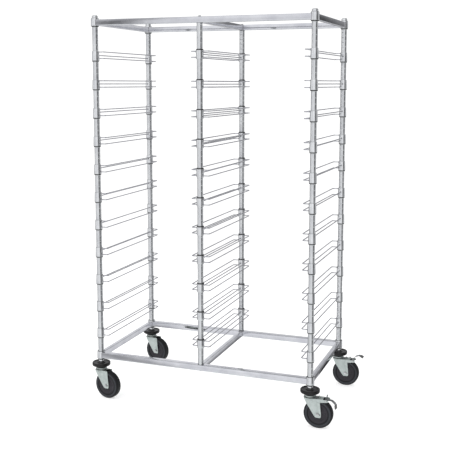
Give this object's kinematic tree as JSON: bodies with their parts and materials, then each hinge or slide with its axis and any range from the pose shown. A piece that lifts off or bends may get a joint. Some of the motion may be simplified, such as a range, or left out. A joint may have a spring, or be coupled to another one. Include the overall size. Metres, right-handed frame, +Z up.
{
  "type": "sheet pan rack",
  "caption": "Mobile two-bay sheet pan rack: chrome tube posts, welded top and bottom frames, wire tray slides on split sleeves, and swivel casters, some with brakes.",
  "frame": {"origin": "on the floor, under the middle of the four corner posts", "axes": "+Z up, +X to the right seen from the front, +Y from the front towards the rear"},
  "size_m": [1.1686, 0.63, 1.7562],
  "materials": {
    "chrome_tube": "polished nickel-chrome plate on drawn steel tube, faint vertical draw lines",
    "chrome_wire": "bright zinc-chrome plate on drawn wire",
    "chrome_rail": "bright plate on rolled tube, slightly lavender reflections",
    "black_sleeve": "black moulded nylon",
    "zinc_pressing": "pale zinc plate on pressed steel",
    "bright_fastener": "zinc-plated fastener",
    "bumper_rubber": "dense black rubber, slightly glossy",
    "wheel_resin": "charcoal moulded resin",
    "tyre_rubber": "blue-grey black solid rubber tread",
    "pedal_steel": "zinc-plated pressed steel",
    "pedal_pad": "dark grey moulded pad"
  },
  "bodies": {
    "rack": {"post_left_front": "chrome_tube", "post_left_rear": "chrome_tube", "post_middle_front": "chrome_tube", "post_middle_rear": "chrome_tube", "post_right_front": "chrome_tube", "post_right_rear": "chrome_tube", "top_frame": "chrome_rail", "bottom_frame": "chrome_rail", "post_caps": "chrome_tube", "split_sleeves": "black_sleeve", "middle_post_plugs": "zinc_pressing", "middle_post_bolts": "bright_fastener", "caster_stems": "zinc_pressing", "caster_bumpers": "bumper_rubber", "side_slides_level_01": "chrome_wire", "side_slides_level_02": "chrome_wire", "side_slides_level_03": "chrome_wire", "side_slides_level_04": "chrome_wire", "side_slides_level_05": "chrome_wire", "side_slides_level_06": "chrome_wire", "side_slides_level_07": "chrome_wire", "side_slides_level_08": "chrome_wire", "side_slides_level_09": "chrome_wire", "side_slides_level_10": "chrome_wire", "side_slides_level_11": "chrome_wire", "middle_slide_level_01": "chrome_wire", "middle_slide_level_02": "chrome_wire", "middle_slide_level_03": "chrome_wire", "middle_slide_level_04": "chrome_wire", "middle_slide_level_05": "chrome_wire", "middle_slide_level_06": "chrome_wire", "middle_slide_level_07": "chrome_wire", "middle_slide_level_08": "chrome_wire", "middle_slide_level_09": "chrome_wire", "middle_slide_level_10": "chrome_wire", "middle_slide_level_11": "chrome_wire"},
    "swivel_left_front": {"fork_left_front": "zinc_pressing", "axle_left_front": "bright_fastener"},
    "wheel_left_front": {"wheel_core_left_front": "wheel_resin", "tyre_left_front": "tyre_rubber"},
    "swivel_left_rear": {"fork_left_rear": "zinc_pressing", "axle_left_rear": "bright_fastener"},
    "wheel_left_rear": {"wheel_core_left_rear": "wheel_resin", "tyre_left_rear": "tyre_rubber"},
    "swivel_right_front": {"fork_right_front": "zinc_pressing", "axle_right_front": "bright_fastener", "brake_pin_right_front": "bright_fastener", "brake_plate_right_front": "zinc_pressing"},
    "wheel_right_front": {"wheel_core_right_front": "wheel_resin", "tyre_right_front": "tyre_rubber"},
    "pedal_right_front": {"brake_pedal_right_front": "pedal_steel", "pedal_tip_right_front": "pedal_pad"},
    "swivel_right_rear": {"fork_right_rear": "zinc_pressing", "axle_right_rear": "bright_fastener", "brake_pin_right_rear": "bright_fastener", "brake_plate_right_rear": "zinc_pressing"},
    "wheel_right_rear": {"wheel_core_right_rear": "wheel_resin", "tyre_right_rear": "tyre_rubber"},
    "pedal_right_rear": {"brake_pedal_right_rear": "pedal_steel", "pedal_tip_right_rear": "pedal_pad"}
  },
  "joints": [
    {"name": "swivel_turn_left_front", "type": "hinge", "parent": "rack", "child": "swivel_left_front", "pos_m": [-0.50165, -0.27305, 0.134], "axis": [0, 0, 1], "continuous": true},
    {"name": "wheel_roll_left_front", "type": "hinge", "parent": "swivel_left_front", "child": "wheel_left_front", "pos_m": [-0.46412, -0.27899, 0.0635], "axis": [0.1564, 0.9877, 0], "continuous": true},
    {"name": "swivel_turn_left_rear", "type": "hinge", "parent": "rack", "child": "swivel_left_rear", "pos_m": [-0.50165, 0.27305, 0.134], "axis": [0, 0, 1], "continuous": true},
    {"name": "wheel_roll_left_rear", "type": "hinge", "parent": "swivel_left_rear", "child": "wheel_left_rear", "pos_m": [-0.46435, 0.2658, 0.0635], "axis": [0.1908, 0.9816, 0], "continuous": true},
    {"name": "swivel_turn_right_front", "type": "hinge", "parent": "rack", "child": "swivel_right_front", "pos_m": [0.50165, -0.27305, 0.134], "axis": [0, 0, 1], "continuous": true},
    {"name": "wheel_roll_right_front", "type": "hinge", "parent": "swivel_right_front", "child": "wheel_right_front", "pos_m": [0.53965, -0.27305, 0.0635], "axis": [0, 1, 0], "continuous": true},
    {"name": "pedal_lift_right_front", "type": "hinge", "parent": "swivel_right_front", "child": "pedal_right_front", "pos_m": [0.57365, -0.27305, 0.127], "axis": [0, -1, 0], "range_deg": [0, 60]},
    {"name": "swivel_turn_right_rear", "type": "hinge", "parent": "rack", "child": "swivel_right_rear", "pos_m": [0.50165, 0.27305, 0.134], "axis": [0, 0, 1], "continuous": true},
    {"name": "wheel_roll_right_rear", "type": "hinge", "parent": "swivel_right_rear", "child": "wheel_right_rear", "pos_m": [0.53965, 0.27305, 0.0635], "axis": [0, 1, 0], "continuous": true},
    {"name": "pedal_lift_right_rear", "type": "hinge", "parent": "swivel_right_rear", "child": "pedal_right_rear", "pos_m": [0.57365, 0.27305, 0.127], "axis": [0, -1, 0], "range_deg": [-60, 0]}
  ]
}
